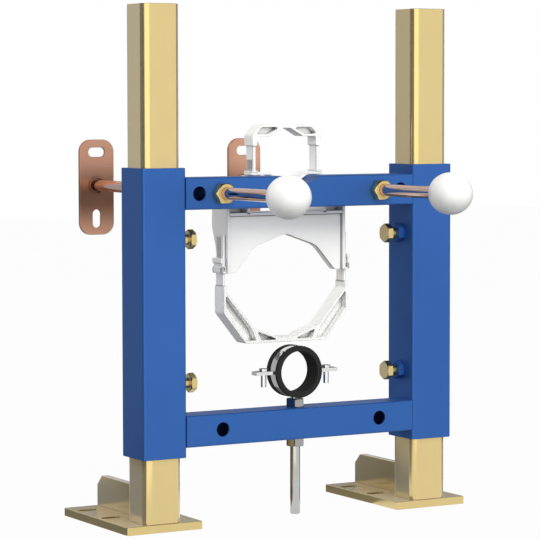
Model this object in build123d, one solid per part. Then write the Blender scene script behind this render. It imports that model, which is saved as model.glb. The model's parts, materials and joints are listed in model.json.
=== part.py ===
from build123d import *
import math
import os

# Height-adjustable floor frame for a wall hung toilet, in millimetres, +Z up.
# The origin is on the floor, in the middle of the eight floor bolt slots.
# -Y is the front, where the bowl hangs, and +Y is the wall behind the frame.

# Legs: square tubes that slide in the sleeves of the frame
post_width = 40.8
post_wall = 2.5
post_corner = 8.6
post_length = 500.0
post_spacing = 306.4

# Feet
foot_width = 82.0
foot_length = 141.0
foot_thickness = 8.0
foot_toe = 1.9
foot_corner = 1.5
floor_slot_width = 9.0
floor_slot_length = 20.0
floor_slot_side = 27.0
floor_slot_pitch = 53.0
floor_slot_rear_edge = 24.5
gusset_thickness = 8.0
gusset_height = 31.0
gusset_chamfer = 10.0

# Frame: two sleeves joined by two rails
sleeve_gap = 0.4
sleeve_wall = 2.6
sleeve_corner = 2.8
sleeve_length = 280.0
sleeve_height = 71.0
rail_height = 31.0
rail_depth = 30.0
rail_wall = 2.5
rail_corner = 2.0
rail_inset = 25.0
outer_stud_spacing = 230.0
inner_stud_step = 25.0
stud_hole_radius = 7.0

# Lock screws that clamp the legs
lock_thread_radius = 5.0
lock_across_flats = 17.0
lock_head = 6.5
lock_nut_thickness = 7.2
lock_neck = 6.2
lock_inset = 70.0
lock_tip_gap = 0.2

# Wall studs with their nuts, wall plates and protective ball caps
stud_radius = 6.0
stud_nut_across_flats = 19.0
stud_nut_thickness = 9.0
cap_radius = 20.4
cap_half_length = 24.4
cap_reach = 126.0
cap_bore_past_centre = 8.0
wall_reach = 256.5
wall_plate_width = 40.0
wall_plate_height = 101.0
wall_plate_thickness = 4.0
wall_plate_corner = 13.0
wall_plate_drop = 1.9
wall_slot_width = 10.0
wall_slot_length = 19.5
wall_slot_offset = 35.3
wall_pocket_radius = 8.0
wall_pocket_depth = 2.5
wall_collar_radius = 9.5
wall_collar_height = 1.5

# Plastic pipe bracket: heights count from the middle of the top rail, depths from its rear face
bracket_half_width = 68.0
bracket_wall = 3.0
bracket_bottom = -80.5
bracket_depth = 32.0
bracket_low_depth = 22.4
bracket_taper_top = -36.0
bracket_taper_bottom = -60.0
bracket_wing_top = 9.0
shelf_top = -21.0
panel_recess = 3.0
panel_thickness = 2.5
arch_depth = 10.0
arch_wall = 2.5
arch_foot_half_width = 57.4
arch_foot_round = 4.0
arch_shoulder_half_width = 35.7
arch_shoulder_height = -55.3
arch_shoulder_round = 20.0
arch_top_height = -42.8
arch_top_round = 12.0
rib_outer = 45.5
rib_thickness = 3.3
wing_back_depth = 12.0
flange_half_width = 40.7
flange_depth = 15.8
flange_thickness = 3.7
flange_low = 15.0
trough_half_width = 20.0
trough_flat_half_width = 4.0
trough_drop = 9.0
trough_lean = 1.0
guide_bottom = -8.0
guide_inner = 32.5
flush_axis_height = 41.0
notch_radius = 33.5

# Ratchet straps: heights count from the middle of the top rail
slide_gap = 0.3
drain_leg_clearance = 0.4
drain_leg_thickness = 2.8
drain_leg_front = 4.0
drain_leg_depth = 14.0
drain_leg_top = -43.0
drain_body_front = 1.0
drain_body_depth = 19.0
drain_body_growth = 0.4
drain_step_height = -92.5
drain_corner_height = -120.0
drain_floor_half_width = 46.5
drain_floor_height = -151.0
drain_outer_round = 5.0
drain_inner_top = -99.0
drain_knee_half_width = 38.0
drain_knee_height = -135.0
drain_inner_floor_half_width = 8.5
drain_inner_floor_height = -146.0
drain_inner_round = 3.0
drain_rim = 2.4
drain_rib_lean = 7.0
strap_web = 2.0
latch_growth = 2.8
latch_height = 14.0
latch_margin = 1.8
latch_groove_share = 0.52
latch_groove_depth = 1.2
latch_groove_width = 2.4
tooth_depth = 0.8
drain_tooth_pitch = 2.0
drain_teeth = 11
drain_teeth_bottom = -66.0
flush_strap_half_width = 37.9
flush_leg_thickness = 2.9
flush_leg_front = 1.6
flush_leg_depth = 14.0
flush_leg_bottom = 3.0
flush_body_front = 0.4
flush_body_depth = 16.8
flush_body_growth = 1.3
flush_inner_growth = 1.2
flush_top_height = 65.5
flush_side_length = 21.0
flush_bar_thickness = 11.5
flush_chamfer = 10.0
flush_round = 6.0
flush_vee_half_width = 19.0
flush_vee_top_half_width = 4.0
flush_vee_thickness = 3.1
flush_rim = 2.2
flush_tooth_pitch = 1.4
flush_teeth = 8
flush_teeth_bottom = 20.3

# Pipe clamp on its threaded rod: the height counts from the middle of the bottom rail
clamp_axis_height = 50.8
clamp_front = 9.5
clamp_rear = 12.0
clamp_rubber_radius = 26.0
clamp_bore_radius = 20.8
clamp_groove_depth = 0.8
clamp_groove_width = 2.2
clamp_groove_pitch = 4.4
clamp_grooves = 4
clamp_band_radius = 25.4
clamp_band_thickness = 1.5
clamp_band_width = 10.2
clamp_seat_gap = 0.1
ear_reach = 46.8
ear_thickness = 1.8
ear_screw_reach = 36.0
ear_screw_radius = 2.75
ear_screw_length = 13.8
ear_head_radius = 4.5
ear_head_height = 2.7
clamp_rod_radius = 5.0
clamp_rod_length = 116.0
clamp_neck_radius = 4.4
clamp_neck_length = 1.4
clamp_nut_across_flats = 17.0
clamp_nut_thickness = 8.2
thread_gap = 0.08

# How far a cut runs past its piece, the least inner corner, and a nut's face inside its bevel
overshoot = 1.0
smallest_corner = 0.5
nut_face_share = 0.97

# Places worked out from the sizes above
post_x = post_spacing / 2
foot_rear = floor_slot_rear_edge + floor_slot_pitch / 2
foot_front = foot_rear - foot_length
post_y = foot_front + foot_toe + post_width / 2
sleeve_width = post_width + 2 * (sleeve_gap + sleeve_wall)
sleeve_top = sleeve_height + sleeve_length
sleeve_inner_face = post_x - sleeve_width / 2
frame_front = post_y - sleeve_width / 2
rail_y = frame_front + rail_depth / 2
rail_rear = frame_front + rail_depth
drain_strap_half_width = bracket_half_width + drain_leg_clearance + drain_leg_thickness
low_rail_z = sleeve_height + rail_inset
top_rail_z = sleeve_top - rail_inset
stud_x = outer_stud_spacing / 2 - inner_stud_step
cap_y = frame_front - cap_reach
wall_y = post_y + wall_reach
plate_front = wall_y - wall_plate_thickness
clamp_z = low_rail_z + clamp_axis_height
rod_top = clamp_z - clamp_band_radius - clamp_neck_length


def block(x0, x1, y0, y1, z0, z1):
    centre = Pos((x0 + x1) / 2, (y0 + y1) / 2, (z0 + z1) / 2)
    return centre * Box(x1 - x0, y1 - y0, z1 - z0)


def bar_x(y, z, radius, x0, x1):
    return Pos((x0 + x1) / 2, y, z) * Rot(0, 90, 0) * Cylinder(radius, x1 - x0)


def bar_y(x, z, radius, y0, y1):
    return Pos(x, (y0 + y1) / 2, z) * Rot(90, 0, 0) * Cylinder(radius, y1 - y0)


def bar_z(x, y, radius, z0, z1):
    return Pos(x, y, (z0 + z1) / 2) * Cylinder(radius, z1 - z0)


def plate_xz(points, y0, y1):
    # A flat piece thick along Y: each corner is given as X, height and, where it is rounded, a radius
    face = make_face(Polyline([(point[0], y0, point[1]) for point in points], close=True))
    for x, z, radius in (point for point in points if len(point) > 2):
        corner = face.vertices().sort_by_distance((x, y0, z))[0]
        face = fillet(corner, radius)
    return extrude(face, amount=y1 - y0, dir=(0, 1, 0))


def plate_yz(points, x0, x1):
    # A flat piece whose outline is given as Y and height, thick along X
    outline = Polyline([(x0, y, z) for y, z in points], close=True)
    return extrude(make_face(outline), amount=x1 - x0, dir=(1, 0, 0))


def mirrored(points):
    # The left half of an outline, from the end of its right half back to the start
    return [(-point[0], *point[1:]) for point in reversed(points)]


def both_halves(points):
    return points + mirrored(points)


def rail_heights(points):
    # Heights given from the middle of the top rail become heights above the floor
    return [(point[0], top_rail_z + point[1], *point[2:]) for point in points]


def square_ring(width, wall, corner):
    inside = width - 2 * wall
    inside_corner = max(corner - wall, smallest_corner)
    return RectangleRounded(width, width, corner) - RectangleRounded(inside, inside, inside_corner)


def hexagon(across_flats, thickness, turn=0.0):
    # A nut or screw head blank that stands on z = 0, bevelled on both faces
    corner = across_flats / 2 / math.cos(math.radians(30))
    face_radius = nut_face_share * across_flats / 2
    bevel = (corner - face_radius) * math.tan(math.radians(30))
    prism = extrude(RegularPolygon(corner, 6, rotation=turn), amount=thickness)
    profile = [
        (0, 0, 0),
        (face_radius, 0, 0),
        (corner, 0, bevel),
        (corner, 0, thickness - bevel),
        (face_radius, 0, thickness),
        (0, 0, thickness),
    ]
    return prism & revolve(make_face(Polyline(profile, close=True)), Axis.Z)


def make_post():
    ring = extrude(square_ring(post_width, post_wall, post_corner), amount=post_length)
    return Pos(post_x, post_y, foot_thickness) * ring


def make_foot_plate():
    outline = RectangleRounded(foot_width, foot_length, foot_corner)
    plate = extrude(Pos(post_x, (foot_front + foot_rear) / 2) * outline, amount=foot_thickness)
    for side in (-1, 1):
        for row in (-1, 1):
            slot = SlotOverall(floor_slot_length, floor_slot_width)
            place = Pos(post_x + side * floor_slot_side, row * floor_slot_pitch / 2)
            plate -= extrude(place * slot, amount=foot_thickness)
    return plate


def make_foot_gusset():
    front = post_y + post_width / 2
    top = foot_thickness + gusset_height
    outline = [
        (front, foot_thickness),
        (foot_rear, foot_thickness),
        (foot_rear, top - gusset_chamfer),
        (foot_rear - gusset_chamfer, top),
        (front, top),
    ]
    return plate_yz(outline, post_x - gusset_thickness / 2, post_x + gusset_thickness / 2)


def lock_heights():
    return {"lower": sleeve_height + lock_inset, "upper": sleeve_top - lock_inset}


def make_sleeve():
    ring = extrude(square_ring(sleeve_width, sleeve_wall, sleeve_corner), amount=sleeve_length)
    sleeve = Pos(post_x, post_y, sleeve_height) * ring
    bore = lock_thread_radius + thread_gap
    for height in lock_heights().values():
        sleeve -= bar_x(post_y, height, bore, sleeve_inner_face - overshoot, post_x)
    return sleeve


def rail_bar(wall, corner, height):
    section = Plane.YZ * RectangleRounded(rail_depth - 2 * wall, rail_height - 2 * wall, corner)
    bar = extrude(section, amount=2 * sleeve_inner_face)
    return Pos(-sleeve_inner_face, rail_y, height) * bar


def rail_hole(x, height, radius):
    return bar_y(x, height, radius, frame_front - overshoot, rail_rear + overshoot)


def make_top_rail():
    # The middle dips in a round saddle that the flush pipe passes through
    inside = rail_bar(rail_wall, max(rail_corner - rail_wall, smallest_corner), top_rail_z)
    inside -= rail_hole(0, top_rail_z + flush_axis_height, notch_radius + rail_wall)
    rail = rail_bar(0, rail_corner, top_rail_z)
    rail -= rail_hole(0, top_rail_z + flush_axis_height, notch_radius)
    rail -= inside
    for side in (-1, 1):
        rail -= rail_hole(side * outer_stud_spacing / 2, top_rail_z, stud_hole_radius)
        rail -= rail_hole(side * stud_x, top_rail_z, stud_radius + thread_gap)
    return rail


def make_bottom_rail():
    rail = rail_bar(0, rail_corner, low_rail_z)
    rail -= rail_bar(rail_wall, max(rail_corner - rail_wall, smallest_corner), low_rail_z)
    for side in (-1, 1):
        rail -= rail_hole(side * stud_x, low_rail_z, stud_hole_radius)
    reach = rail_height / 2 + overshoot
    return rail - bar_z(0, rail_y, clamp_rod_radius + thread_gap, low_rail_z - reach, low_rail_z + reach)


def make_lock_nut(height):
    nut = Pos(sleeve_inner_face - lock_nut_thickness, post_y, height) * Rot(0, 90, 0)
    nut = nut * hexagon(lock_across_flats, lock_nut_thickness, turn=30.0)
    return nut - bar_x(post_y, height, lock_thread_radius + thread_gap, 0, post_x)


def make_lock_bolt(height):
    head_inner = sleeve_inner_face - lock_nut_thickness - lock_neck
    tip = post_x - post_width / 2 - lock_tip_gap
    head = Pos(head_inner - lock_head, post_y, height) * Rot(0, 90, 0)
    head = head * hexagon(lock_across_flats, lock_head)
    return head + bar_x(post_y, height, lock_thread_radius, head_inner - overshoot, tip)


def make_stud():
    front = cap_y - cap_bore_past_centre
    rear = plate_front + wall_pocket_depth
    return bar_y(stud_x, top_rail_z, stud_radius, front, rear)


def make_stud_nut(rear_face):
    nut = Pos(stud_x, rear_face, top_rail_z) * Rot(90, 0, 0)
    nut = nut * hexagon(stud_nut_across_flats, stud_nut_thickness)
    return nut - rail_stud_bore(rear_face - stud_nut_thickness, rear_face)


def rail_stud_bore(y0, y1):
    return bar_y(stud_x, top_rail_z, stud_radius + thread_gap, y0 - overshoot, y1 + overshoot)


def make_ball_cap():
    # An egg-shaped ball, a little longer along its stud than it is wide
    upper = Pos(0, cap_radius) * Rectangle(2 * cap_half_length, 2 * cap_radius)
    half = Ellipse(cap_half_length, cap_radius) & upper
    ball = Pos(stud_x, cap_y, top_rail_z) * Rot(0, 0, 90) * revolve(half, Axis.X)
    bore_end = cap_y - cap_bore_past_centre
    mouth = cap_y + cap_half_length + overshoot
    return ball - bar_y(stud_x, top_rail_z, stud_radius + thread_gap, bore_end, mouth)


def make_wall_plate():
    stand = Pos(stud_x, wall_y, top_rail_z) * Rot(90, 0, 0)
    outline = RectangleRounded(wall_plate_width, wall_plate_height, wall_plate_corner)
    plate = extrude(Pos(0, -wall_plate_drop) * outline, amount=wall_plate_thickness)
    across = Pos(0, wall_slot_offset) * SlotOverall(wall_slot_length, wall_slot_width)
    upright = Pos(0, -wall_slot_offset) * Rot(0, 0, 90) * SlotOverall(wall_slot_length, wall_slot_width)
    plate -= extrude(across, amount=wall_plate_thickness)
    plate -= extrude(upright, amount=wall_plate_thickness)
    front = wall_plate_thickness + wall_collar_height
    plate += bar_z(0, 0, wall_collar_radius, wall_plate_thickness - overshoot, front)
    plate -= bar_z(0, 0, wall_pocket_radius, wall_plate_thickness - wall_pocket_depth, front + overshoot)
    return stand * plate


def arch_outline(foot, grow=0.0):
    # The opening for the drain pipe, grown by the thickness of its rim: foot is its lower right end
    shoulder = (arch_shoulder_half_width + grow / 2, arch_shoulder_height + grow, arch_shoulder_round)
    half = foot + [shoulder]
    crown = (0, arch_top_height + grow, arch_top_round)
    return rail_heights(half + [crown] + mirrored(half))


def bracket_walls():
    # Two outer walls that taper to the rear, from the arms up to the wings
    y0 = rail_rear
    outline = [
        (y0, bracket_bottom),
        (y0 + bracket_low_depth, bracket_bottom),
        (y0 + bracket_low_depth, bracket_taper_bottom),
        (y0 + bracket_depth, bracket_taper_top),
        (y0 + bracket_depth, bracket_wing_top),
        (y0, bracket_wing_top),
    ]
    inner = bracket_half_width - bracket_wall
    return plate_yz(rail_heights(outline), inner, bracket_half_width)


def bracket_panel():
    # The recessed front panel with the deeper wall round its arch
    y0 = rail_rear + panel_recess
    side = bracket_half_width - bracket_wall / 2
    shelf_middle = shelf_top - bracket_wall / 2
    blank = both_halves([(side, bracket_bottom), (side, shelf_middle)])
    panel = plate_xz(rail_heights(blank), y0, y0 + panel_thickness)
    rim_foot = [(arch_foot_half_width + arch_wall, bracket_bottom)]
    rim = plate_xz(arch_outline(rim_foot, arch_wall), y0, y0 + arch_depth)
    foot = [
        (bracket_half_width, bracket_bottom - overshoot),
        (bracket_half_width, bracket_bottom),
        (arch_foot_half_width, bracket_bottom, arch_foot_round),
    ]
    return panel + rim - plate_xz(arch_outline(foot), y0 - overshoot, y0 + arch_depth + overshoot)


def bracket_shelf():
    side = bracket_half_width - bracket_wall / 2
    z1 = top_rail_z + shelf_top
    return block(-side, side, rail_rear, rail_rear + bracket_depth, z1 - bracket_wall, z1)


def bracket_wing():
    # The right pocket beside the middle window, with its rib, back and top
    z0 = top_rail_z + shelf_top - bracket_wall / 2
    z1 = top_rail_z + bracket_wing_top
    side = bracket_half_width - bracket_wall / 2
    rib_inner = rib_outer - rib_thickness
    rib = block(rib_inner, rib_outer, rail_rear, rail_rear + bracket_depth, z0, z1)
    back_y = rail_rear + wing_back_depth
    back = block(rib_inner + overshoot, side, back_y, back_y + panel_thickness, z0, z1)
    top = block(rib_inner + overshoot, side, rail_rear, rail_rear + bracket_depth, z1 - bracket_wall, z1)
    return rib + back + top


def bracket_guide():
    # The right guide that the flush strap's leg slides in, under the flange
    z1 = top_rail_z + flange_low + overshoot
    z0 = top_rail_z + guide_bottom
    return block(guide_inner, rib_outer - overshoot, rail_rear, rail_rear + flange_depth, z0, z1)


def flush_leg_slot():
    inner = flush_strap_half_width - flush_leg_thickness - slide_gap
    outer = flush_strap_half_width + slide_gap
    y0 = rail_rear + flush_leg_front - slide_gap
    y1 = y0 + flush_leg_depth + 2 * slide_gap
    z1 = top_rail_z + flange_low + flange_thickness + overshoot
    return block(inner, outer, y0, y1, top_rail_z + guide_bottom - overshoot, z1)


def bracket_flange():
    # The saddle on top: a flat flange that dips in a trough under the flush pipe
    high = flange_low + flange_thickness
    half = [
        (trough_flat_half_width, high - trough_drop),
        (trough_half_width, high),
        (flange_half_width, high),
        (flange_half_width, flange_low),
        (trough_half_width - trough_lean, flange_low),
        (trough_flat_half_width - trough_lean, high - trough_drop - bracket_wall),
    ]
    y1 = rail_rear + flange_depth
    return plate_xz(rail_heights(both_halves(half)), rail_rear, y1)


def bracket_latch():
    # The right latch at the foot of the arm, a loop that the drain strap's leg runs through
    x1 = drain_strap_half_width + latch_growth
    y0 = rail_rear + drain_leg_front - latch_margin - slide_gap
    y1 = rail_rear + drain_leg_front + drain_leg_depth + latch_margin + slide_gap
    z0 = top_rail_z + bracket_bottom
    z1 = z0 + latch_height
    latch = block(bracket_half_width - overshoot, x1, y0, y1, z0, z1)
    groove_z0 = z0 + latch_groove_share * latch_height - latch_groove_width / 2
    groove_z1 = groove_z0 + latch_groove_width
    groove_x0 = x1 - latch_groove_depth
    latch -= block(groove_x0, x1 + overshoot, y0 - overshoot, y1 + overshoot, groove_z0, groove_z1)
    inner = drain_strap_half_width - drain_leg_thickness - slide_gap
    outer = drain_strap_half_width + slide_gap
    leg_y0 = rail_rear + drain_leg_front - slide_gap
    leg_y1 = leg_y0 + drain_leg_depth + 2 * slide_gap
    return latch - block(inner, outer, leg_y0, leg_y1, z0 - overshoot, z1 + overshoot)


def make_bracket():
    right = bracket_walls() + bracket_wing() + bracket_guide() + bracket_latch()
    body = bracket_shelf() + bracket_panel() + bracket_flange()
    body += right
    body += mirror(right, Plane.YZ)
    slot = flush_leg_slot()
    return body - slot - mirror(slot, Plane.YZ)


def meet(line, other):
    # The point where two lines cross, each given as (normal x, normal z, distance)
    (a, b, p), (c, d, q) = line, other
    share = a * d - b * c
    return ((p * d - q * b) / share, (a * q - c * p) / share)


def inset(corners, rim):
    # The outline of a convex pocket that leaves a rim inside the given corners
    middle_x = sum(x for x, z in corners) / len(corners)
    middle_z = sum(z for x, z in corners) / len(corners)
    lines = []
    for (x0, z0), (x1, z1) in zip(corners, corners[1:] + corners[:1]):
        length = math.hypot(x1 - x0, z1 - z0)
        a, b = (z0 - z1) / length, (x1 - x0) / length
        inside = a * (middle_x - x0) + b * (middle_z - z0)
        lines.append((a, b, a * x0 + b * z0 + math.copysign(rim, inside)))
    return [meet(line, other) for line, other in zip(lines, lines[1:] + lines[:1])]


def crossing(x0, z0, x1, z1, x=None, z=None):
    # The point of the line through two points at a given x, or at a given height
    if x is None:
        return (x0 + (x1 - x0) * (z - z0) / (z1 - z0), z)
    return (x, z0 + (z1 - z0) * (x - x0) / (x1 - x0))


def cut_pocket(strap, corners, rim, y0, y1):
    # The same pocket in both faces and on both sides, with a thin web left in the middle
    outline = rail_heights(inset(corners, rim))
    web = (y0 + y1 - strap_web) / 2
    pocket = plate_xz(outline, y0 - overshoot, web) + plate_xz(outline, web + strap_web, y1 + overshoot)
    return strap - pocket - mirror(pocket, Plane.YZ)


def ratchet_leg(inner, outer, front, depth, low, high):
    # The right leg of a strap, from its toothed end to its body
    y0 = rail_rear + front
    return block(inner, outer, y0, y0 + depth, top_rail_z + low, top_rail_z + high)


def cut_teeth(leg, outer, bottom, pitch, count):
    # Square grooves across the outer face of a right leg
    box = leg.bounding_box()
    y0, y1 = box.min.Y - overshoot, box.max.Y + overshoot
    for step in range(count):
        z0 = top_rail_z + bottom + step * pitch
        leg -= block(outer - tooth_depth, outer + overshoot, y0, y1, z0, z0 + pitch / 2)
    return leg


def make_drain_strap():
    outer = drain_strap_half_width + drain_body_growth
    inner = drain_strap_half_width - drain_leg_thickness
    knee = (drain_knee_half_width, drain_knee_height)
    inner_floor = (drain_inner_floor_half_width, drain_inner_floor_height)
    floor_corner = (drain_floor_half_width, drain_floor_height)
    outer_corner = (outer, drain_corner_height)
    half = [
        (*floor_corner, drain_outer_round),
        (*outer_corner, drain_outer_round),
        (outer, drain_step_height),
        (inner, drain_step_height),
        (inner, drain_inner_top),
        (*knee, drain_inner_round),
        (*inner_floor, drain_inner_round),
    ]
    y0 = rail_rear + drain_body_front
    y1 = y0 + drain_body_depth
    strap = plate_xz(rail_heights(both_halves(half)), y0, y1)
    rib_foot = (drain_knee_half_width - drain_rib_lean, drain_floor_height)
    shoulder = crossing(*knee, inner, drain_inner_top, x=outer)
    side = [shoulder, outer_corner, floor_corner, rib_foot, knee]
    strap = cut_pocket(strap, side, drain_rim, y0, y1)
    tip = crossing(*knee, *inner_floor, z=drain_floor_height)
    strap = cut_pocket(strap, [knee, rib_foot, tip], drain_rim, y0, y1)
    reach = drain_strap_half_width
    low = drain_step_height - overshoot
    leg = ratchet_leg(inner, reach, drain_leg_front, drain_leg_depth, low, drain_leg_top)
    leg = cut_teeth(leg, reach, drain_teeth_bottom, drain_tooth_pitch, drain_teeth)
    return strap + leg + mirror(leg, Plane.YZ)


def make_flush_strap():
    outer = flush_strap_half_width + flush_body_growth
    inner = flush_strap_half_width - flush_leg_thickness
    step = flush_top_height - flush_side_length
    bar = flush_top_height - flush_bar_thickness
    vee = (flush_vee_half_width, bar)
    vee_top = (flush_vee_top_half_width, flush_top_height - flush_vee_thickness)
    shoulder = (outer, flush_top_height - flush_chamfer)
    top = (outer - flush_chamfer, flush_top_height)
    half = [
        vee_top,
        vee,
        (inner - flush_inner_growth, bar),
        (inner - flush_inner_growth, step),
        (outer, step),
        (*shoulder, flush_round),
        (*top, flush_round),
    ]
    y0 = rail_rear + flush_body_front
    y1 = y0 + flush_body_depth
    strap = plate_xz(rail_heights(both_halves(half)), y0, y1)
    tip = crossing(*vee, *vee_top, z=flush_top_height)
    corner = crossing(*shoulder, *top, z=bar)
    strap = cut_pocket(strap, [vee, corner, top, tip], flush_rim, y0, y1)
    reach = flush_strap_half_width
    leg = ratchet_leg(inner, reach, flush_leg_front, flush_leg_depth, flush_leg_bottom, step + overshoot)
    leg = cut_teeth(leg, reach, flush_teeth_bottom, flush_tooth_pitch, flush_teeth)
    return strap + leg + mirror(leg, Plane.YZ)


def make_clamp_rubber():
    # A grooved lining: its two outer rims hold the steel band between them
    groove = clamp_band_width / 2 + clamp_seat_gap
    seat = clamp_band_radius - clamp_band_thickness - clamp_seat_gap
    ring = ring_y(clamp_rubber_radius, clamp_bore_radius, -clamp_front, clamp_rear)
    ring -= ring_y(clamp_rubber_radius + overshoot, seat, -groove, groove)
    middle = (clamp_rear - clamp_front) / 2 - (clamp_grooves - 1) / 2 * clamp_groove_pitch
    deep = clamp_bore_radius + clamp_groove_depth
    for number in range(clamp_grooves):
        place = middle + number * clamp_groove_pitch
        half = clamp_groove_width / 2
        ring -= ring_y(deep, clamp_bore_radius - overshoot, place - half, place + half)
    return ring


def ring_y(outer, inner, front, rear):
    # A ring round the clamp's axis, whose faces count from the middle of the bottom rail
    ring = bar_y(0, clamp_z, outer, rail_y + front, rail_y + rear)
    return ring - bar_y(0, clamp_z, inner, rail_y + front - overshoot, rail_y + rear + overshoot)


def make_clamp_band(way):
    # Half of the steel band with its two ears: way is 1 for the upper half, -1 for the lower
    half_width = clamp_band_width / 2
    inner = clamp_band_radius - clamp_band_thickness
    band = ring_y(clamp_band_radius, inner, -half_width, half_width)
    z0, z1 = sorted((clamp_z, clamp_z + way * ear_thickness))
    y0, y1 = rail_y - half_width, rail_y + half_width
    for side in (-1, 1):
        x0, x1 = sorted((side * (inner + clamp_band_thickness / 2), side * ear_reach))
        band += block(x0, x1, y0, y1, z0, z1)
    reach = ear_reach + overshoot
    low, high = sorted((clamp_z, clamp_z + way * reach))
    band &= block(-reach, reach, y0 - overshoot, y1 + overshoot, low, high)
    for side in (-1, 1):
        x = side * ear_screw_reach
        band -= bar_z(x, rail_y, ear_screw_radius + thread_gap, z0 - overshoot, z1 + overshoot)
    return band


def make_clamp_base():
    # The lower half carries the neck that is welded to the rod
    middle = clamp_z - clamp_band_radius + clamp_band_thickness / 2
    return make_clamp_band(-1) + bar_z(0, rail_y, clamp_neck_radius, rod_top, middle)


def make_ear_screw():
    seat = clamp_z + ear_thickness
    shank = bar_z(ear_screw_reach, rail_y, ear_screw_radius, clamp_z - ear_screw_length, seat + overshoot)
    return shank + bar_z(ear_screw_reach, rail_y, ear_head_radius, seat, seat + ear_head_height)


def make_clamp_rod():
    return bar_z(0, rail_y, clamp_rod_radius, rod_top - clamp_rod_length, rod_top)


def make_clamp_nut(bottom):
    nut = Pos(0, rail_y, bottom) * hexagon(clamp_nut_across_flats, clamp_nut_thickness)
    top = bottom + clamp_nut_thickness
    return nut - bar_z(0, rail_y, clamp_rod_radius + thread_gap, bottom - overshoot, top + overshoot)


def make_parts():
    parts = {}

    def add_pair(name, shape):
        parts["right_" + name] = shape
        parts["left_" + name] = mirror(shape, Plane.YZ)

    add_pair("post", make_post())
    add_pair("foot_plate", make_foot_plate())
    add_pair("foot_gusset", make_foot_gusset())
    add_pair("sleeve", make_sleeve())
    for level, height in lock_heights().items():
        add_pair(level + "_lock_nut", make_lock_nut(height))
        add_pair(level + "_lock_bolt", make_lock_bolt(height))
    add_pair("stud", make_stud())
    add_pair("front_stud_nut", make_stud_nut(frame_front))
    add_pair("rear_stud_nut", make_stud_nut(rail_rear + stud_nut_thickness))
    add_pair("ball_cap", make_ball_cap())
    add_pair("wall_plate", make_wall_plate())
    add_pair("clamp_screw", make_ear_screw())
    parts["top_rail"] = make_top_rail()
    parts["bottom_rail"] = make_bottom_rail()
    parts["pipe_bracket"] = make_bracket()
    parts["drain_strap"] = make_drain_strap()
    parts["flush_strap"] = make_flush_strap()
    parts["clamp_lining"] = make_clamp_rubber()
    parts["upper_clamp_band"] = make_clamp_band(1)
    parts["lower_clamp_band"] = make_clamp_base()
    parts["clamp_rod"] = make_clamp_rod()
    parts["upper_clamp_nut"] = make_clamp_nut(low_rail_z + rail_height / 2)
    parts["lower_clamp_nut"] = make_clamp_nut(low_rail_z - rail_height / 2 - clamp_nut_thickness)
    return parts


os.makedirs("parts", exist_ok=True)
for node, shape in make_parts().items():
    export_step(shape, f"parts/{node}.step")
    print(node, round(shape.volume))
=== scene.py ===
import json
import math

import bmesh
import bpy
from mathutils import Matrix, Vector


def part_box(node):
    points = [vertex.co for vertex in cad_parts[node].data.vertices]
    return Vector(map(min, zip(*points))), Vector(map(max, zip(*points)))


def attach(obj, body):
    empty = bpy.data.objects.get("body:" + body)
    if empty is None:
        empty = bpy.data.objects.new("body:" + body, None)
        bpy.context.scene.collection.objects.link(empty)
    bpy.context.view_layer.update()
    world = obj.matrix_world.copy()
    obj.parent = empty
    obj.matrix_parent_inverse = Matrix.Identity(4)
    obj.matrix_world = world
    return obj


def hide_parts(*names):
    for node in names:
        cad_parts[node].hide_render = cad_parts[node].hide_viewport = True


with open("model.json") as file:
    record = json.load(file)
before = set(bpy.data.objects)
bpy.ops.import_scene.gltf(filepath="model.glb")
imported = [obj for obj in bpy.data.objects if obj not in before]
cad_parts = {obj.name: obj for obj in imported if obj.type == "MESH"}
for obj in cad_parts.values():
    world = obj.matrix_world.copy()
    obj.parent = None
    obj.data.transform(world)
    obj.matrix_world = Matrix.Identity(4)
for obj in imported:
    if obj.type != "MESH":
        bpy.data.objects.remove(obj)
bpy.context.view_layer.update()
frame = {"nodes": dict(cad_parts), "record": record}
nodes = frame["nodes"]
slotOf = {row["node"]: row["material_slot"] for row in frame["record"]["subparts"]}
bodyOf = {node: body for body, members in frame["record"]["behaviour"]["bodies"].items() for node in members}
print("frame loaded with", len(nodes), "nodes")

mm = 0.001  # sizes below are in millimetres


def spanOf(node):
    # the lowest and highest corner of a CAD node, in millimetres
    low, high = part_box(node)
    return [value / mm for value in low], [value / mm for value in high]


def middleOf(node):
    low, high = spanOf(node)
    return [(a + b) / 2 for a, b in zip(low, high)]


def camel(node):
    # left_post becomes leftPost
    words = node.split("_")
    return words[0] + "".join(word.capitalize() for word in words[1:])


class Wire:
    # a shader socket that can be written in plain sums
    def __init__(self, nodes, socket):
        self.nodes = nodes
        self.socket = socket

    def join(self, operation, other, turned=False):
        pair = (other, self) if turned else (self, other)
        return self.nodes.add("Math", {"operation": operation}, {0: pair[0], 1: pair[1]})

    def __add__(self, other):
        return self.join("ADD", other)

    def __sub__(self, other):
        return self.join("SUBTRACT", other)

    def __mul__(self, other):
        return self.join("MULTIPLY", other)

    def __pow__(self, other):
        return self.join("POWER", other)

    def __rsub__(self, other):
        return self.join("SUBTRACT", other, True)

    __radd__ = __add__
    __rmul__ = __mul__


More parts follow.
